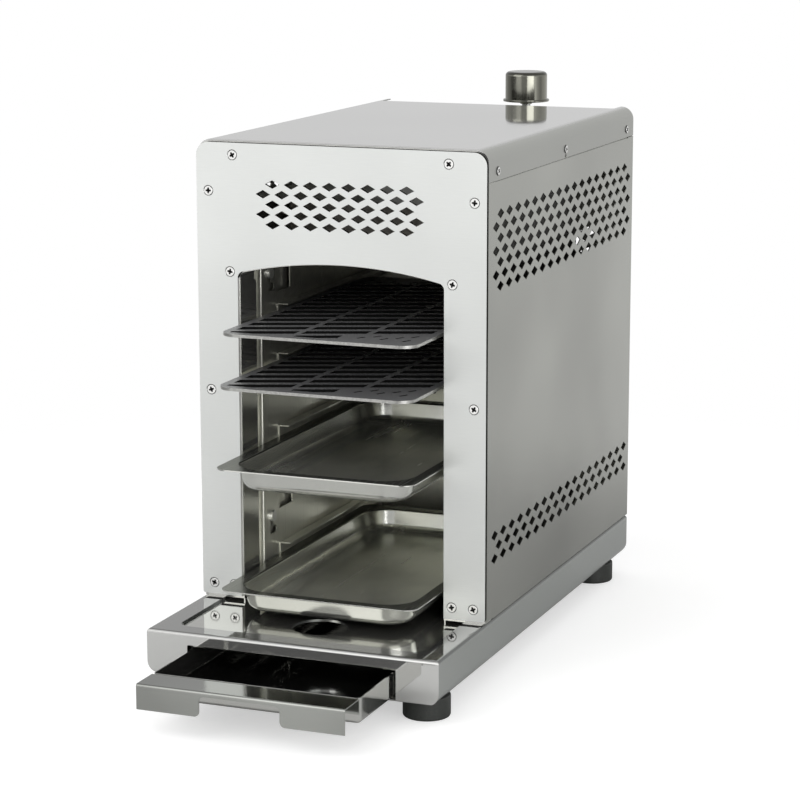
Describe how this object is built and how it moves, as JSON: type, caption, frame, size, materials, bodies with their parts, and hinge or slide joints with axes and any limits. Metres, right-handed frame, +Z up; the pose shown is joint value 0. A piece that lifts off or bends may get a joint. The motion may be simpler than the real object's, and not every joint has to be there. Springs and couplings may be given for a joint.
{
  "type": "infrared steak grill",
  "caption": "Upright gas steak grill with an arched mouth, sliding grates and trays, a base with a drip drawer, and a push and turn knob behind.",
  "frame": {"origin": "centre of the outline on the surface that the feet stand on", "axes": "+X to the right seen from the front, +Y to the back, +Z up"},
  "size_m": [0.257, 0.6978, 0.4728],
  "materials": {
    "plate_steel": "fine horizontal brushing",
    "frame_steel": "bright rolled",
    "cover_steel": "polished",
    "panel_steel": "satin",
    "base_steel": "polished",
    "drawer_steel": "polished",
    "handle_steel": "satin",
    "tray_steel": "polished, drawn",
    "cavity_steel": "satin, heat worn",
    "liner_steel": "rolled",
    "burner_steel": "heat tinted",
    "burner_ceramic": "porous ceramic",
    "gasket_fibre": "pressed fibre",
    "grate_iron": "dark enamel",
    "brass": "turned",
    "valve_metal": "cast, plated",
    "pipe_metal": "drawn tube",
    "stem_steel": "turned",
    "spring_steel": "drawn wire",
    "knob_metal": "brushed, dark anodised",
    "screw_steel": "bright",
    "foot_rubber": "moulded",
    "lead_copper": "copper tube",
    "lead_ceramic": "ceramic and insulated lead"
  },
  "bodies": {
    "casing": {"back_panel": "panel_steel", "back_screws": "screw_steel", "base_pan": "base_steel", "body_screws": "screw_steel", "burner_brackets": "burner_steel", "burner_guard": "burner_steel", "burner_housing": "burner_steel", "burner_tiles": "burner_ceramic", "carrier_screws": "screw_steel", "cover_screws": "screw_steel", "drawer_rail_left": "frame_steel", "drawer_rail_right": "frame_steel", "foot_bolts": "screw_steel", "foot_front_left": "foot_rubber", "foot_front_right": "foot_rubber", "foot_nuts": "screw_steel", "foot_rear_left": "foot_rubber", "foot_rear_right": "foot_rubber", "front_frame": "frame_steel", "front_plate": "plate_steel", "gas_inlet": "brass", "gas_jet": "brass", "gas_pipe": "pipe_metal", "guides_left": "cavity_steel", "guides_right": "cavity_steel", "heat_shield": "liner_steel", "igniter_electrode": "lead_ceramic", "jet_holder": "brass", "liner_back": "liner_steel", "liner_left": "liner_steel", "liner_right": "liner_steel", "pipe_nuts": "brass", "plate_screws": "screw_steel", "rack_left": "cavity_steel", "rack_right": "cavity_steel", "rack_studs": "screw_steel", "return_spring": "spring_steel", "side_panel_left": "panel_steel", "side_panel_right": "panel_steel", "thermocouple": "lead_copper", "tile_gasket": "gasket_fibre", "top_cover": "cover_steel", "valve_body": "valve_metal", "valve_carrier": "panel_steel", "valve_nut": "brass", "venturi_tube": "burner_steel"},
    "drawer": {"drawer_pan": "drawer_steel", "drawer_handle": "handle_steel"},
    "lower_tray": {"tray_lower": "tray_steel"},
    "upper_tray": {"tray_upper": "tray_steel"},
    "lower_grate": {"grate_lower": "grate_iron"},
    "upper_grate": {"grate_upper": "grate_iron"},
    "control_plunger": {"valve_plunger": "stem_steel"},
    "control_knob": {"knob": "knob_metal", "valve_stem": "stem_steel"}
  },
  "joints": [
    {"name": "drawer_slide", "type": "slide", "parent": "casing", "child": "drawer", "axis": [0, -1, 0], "range_m": [-0.0677, 0.13]},
    {"name": "lower_tray_slide", "type": "slide", "parent": "casing", "child": "lower_tray", "axis": [0, -1, 0], "range_m": [-0.0505, 0.12]},
    {"name": "upper_tray_slide", "type": "slide", "parent": "casing", "child": "upper_tray", "axis": [0, -1, 0], "range_m": [-0.0565, 0.12]},
    {"name": "lower_grate_slide", "type": "slide", "parent": "casing", "child": "lower_grate", "axis": [0, -1, 0], "range_m": [-0.0538, 0.12]},
    {"name": "upper_grate_slide", "type": "slide", "parent": "casing", "child": "upper_grate", "axis": [0, -1, 0], "range_m": [-0.047, 0.12]},
    {"name": "knob_push", "type": "slide", "parent": "casing", "child": "control_plunger", "axis": [0, 0, -1], "range_m": [0, 0.003], "stiffness_N_per_m": 3000, "springref_m": -0.002, "deforming": ["return_spring"]},
    {"name": "knob_turn", "type": "hinge", "parent": "control_plunger", "child": "control_knob", "pos_m": [0, 0.32495, 0.444], "axis": [0, 0, 1], "range_deg": [0, 210]}
  ]
}
